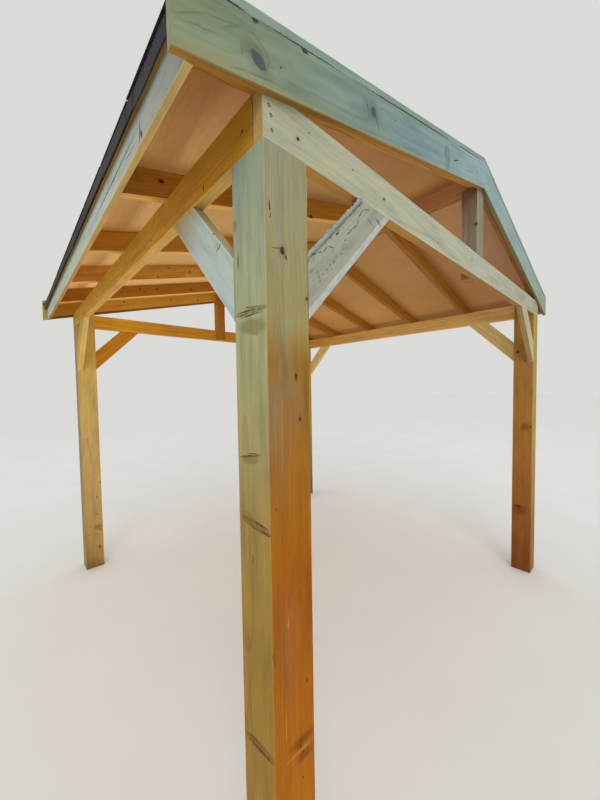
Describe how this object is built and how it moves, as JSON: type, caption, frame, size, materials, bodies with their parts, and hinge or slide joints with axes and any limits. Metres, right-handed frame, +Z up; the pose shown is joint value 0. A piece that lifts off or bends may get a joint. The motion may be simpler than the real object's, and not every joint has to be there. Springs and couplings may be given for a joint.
{
  "type": "gabled open garden shelter",
  "caption": "Open timber garden shelter: square posts, tie beams and knee braces under a low gabled roof of rafters, plywood and felt, with bargeboards and capped verges.",
  "frame": {"origin": "middle of the plan at floor level, in the plane of the four post feet", "axes": "+X along the gables to the right, +Y along the eaves from the front gable to the rear gable, +Z up"},
  "size_m": [3.44, 3.04, 2.9217],
  "materials": {
    "post_timber": "weathered planed softwood, brown to olive",
    "beam_timber": "weathered planed softwood, sage grey to tan",
    "brace_timber": "planed softwood, honey to grey",
    "roof_timber": "planed softwood, golden brown",
    "trim_timber": "weathered planed softwood, grey green",
    "plywood": "softwood plywood, pinkish brown",
    "roofing_felt": "mineral bitumen felt, charcoal, matt"
  },
  "bodies": {
    "root": {"front_left_post": "post_timber", "front_right_post": "post_timber", "rear_left_post": "post_timber", "rear_right_post": "post_timber", "front_tie_beam": "beam_timber", "rear_tie_beam": "beam_timber", "left_wall_plate": "beam_timber", "right_wall_plate": "beam_timber", "front_left_gable_brace": "brace_timber", "front_left_side_brace": "brace_timber", "front_right_gable_brace": "brace_timber", "front_right_side_brace": "brace_timber", "rear_left_gable_brace": "brace_timber", "rear_left_side_brace": "brace_timber", "rear_right_gable_brace": "brace_timber", "rear_right_side_brace": "brace_timber", "front_king_post": "roof_timber", "rear_king_post": "roof_timber", "ridge_board": "roof_timber", "left_drip_batten": "roof_timber", "right_drip_batten": "roof_timber", "left_rafter_front_end": "roof_timber", "right_rafter_front_end": "roof_timber", "left_rafter_second": "roof_timber", "right_rafter_second": "roof_timber", "left_rafter_third": "roof_timber", "right_rafter_third": "roof_timber", "left_rafter_fourth": "roof_timber", "right_rafter_fourth": "roof_timber", "left_rafter_fifth": "roof_timber", "right_rafter_fifth": "roof_timber", "left_rafter_rear_end": "roof_timber", "right_rafter_rear_end": "roof_timber", "left_fascia": "trim_timber", "right_fascia": "trim_timber", "front_left_bargeboard": "trim_timber", "front_right_bargeboard": "trim_timber", "rear_left_bargeboard": "trim_timber", "rear_right_bargeboard": "trim_timber", "front_left_verge_cap": "trim_timber", "front_right_verge_cap": "trim_timber", "rear_left_verge_cap": "trim_timber", "rear_right_verge_cap": "trim_timber", "left_roof_boarding": "plywood", "right_roof_boarding": "plywood", "felt_covering": "roofing_felt"}
  },
  "joints": []
}
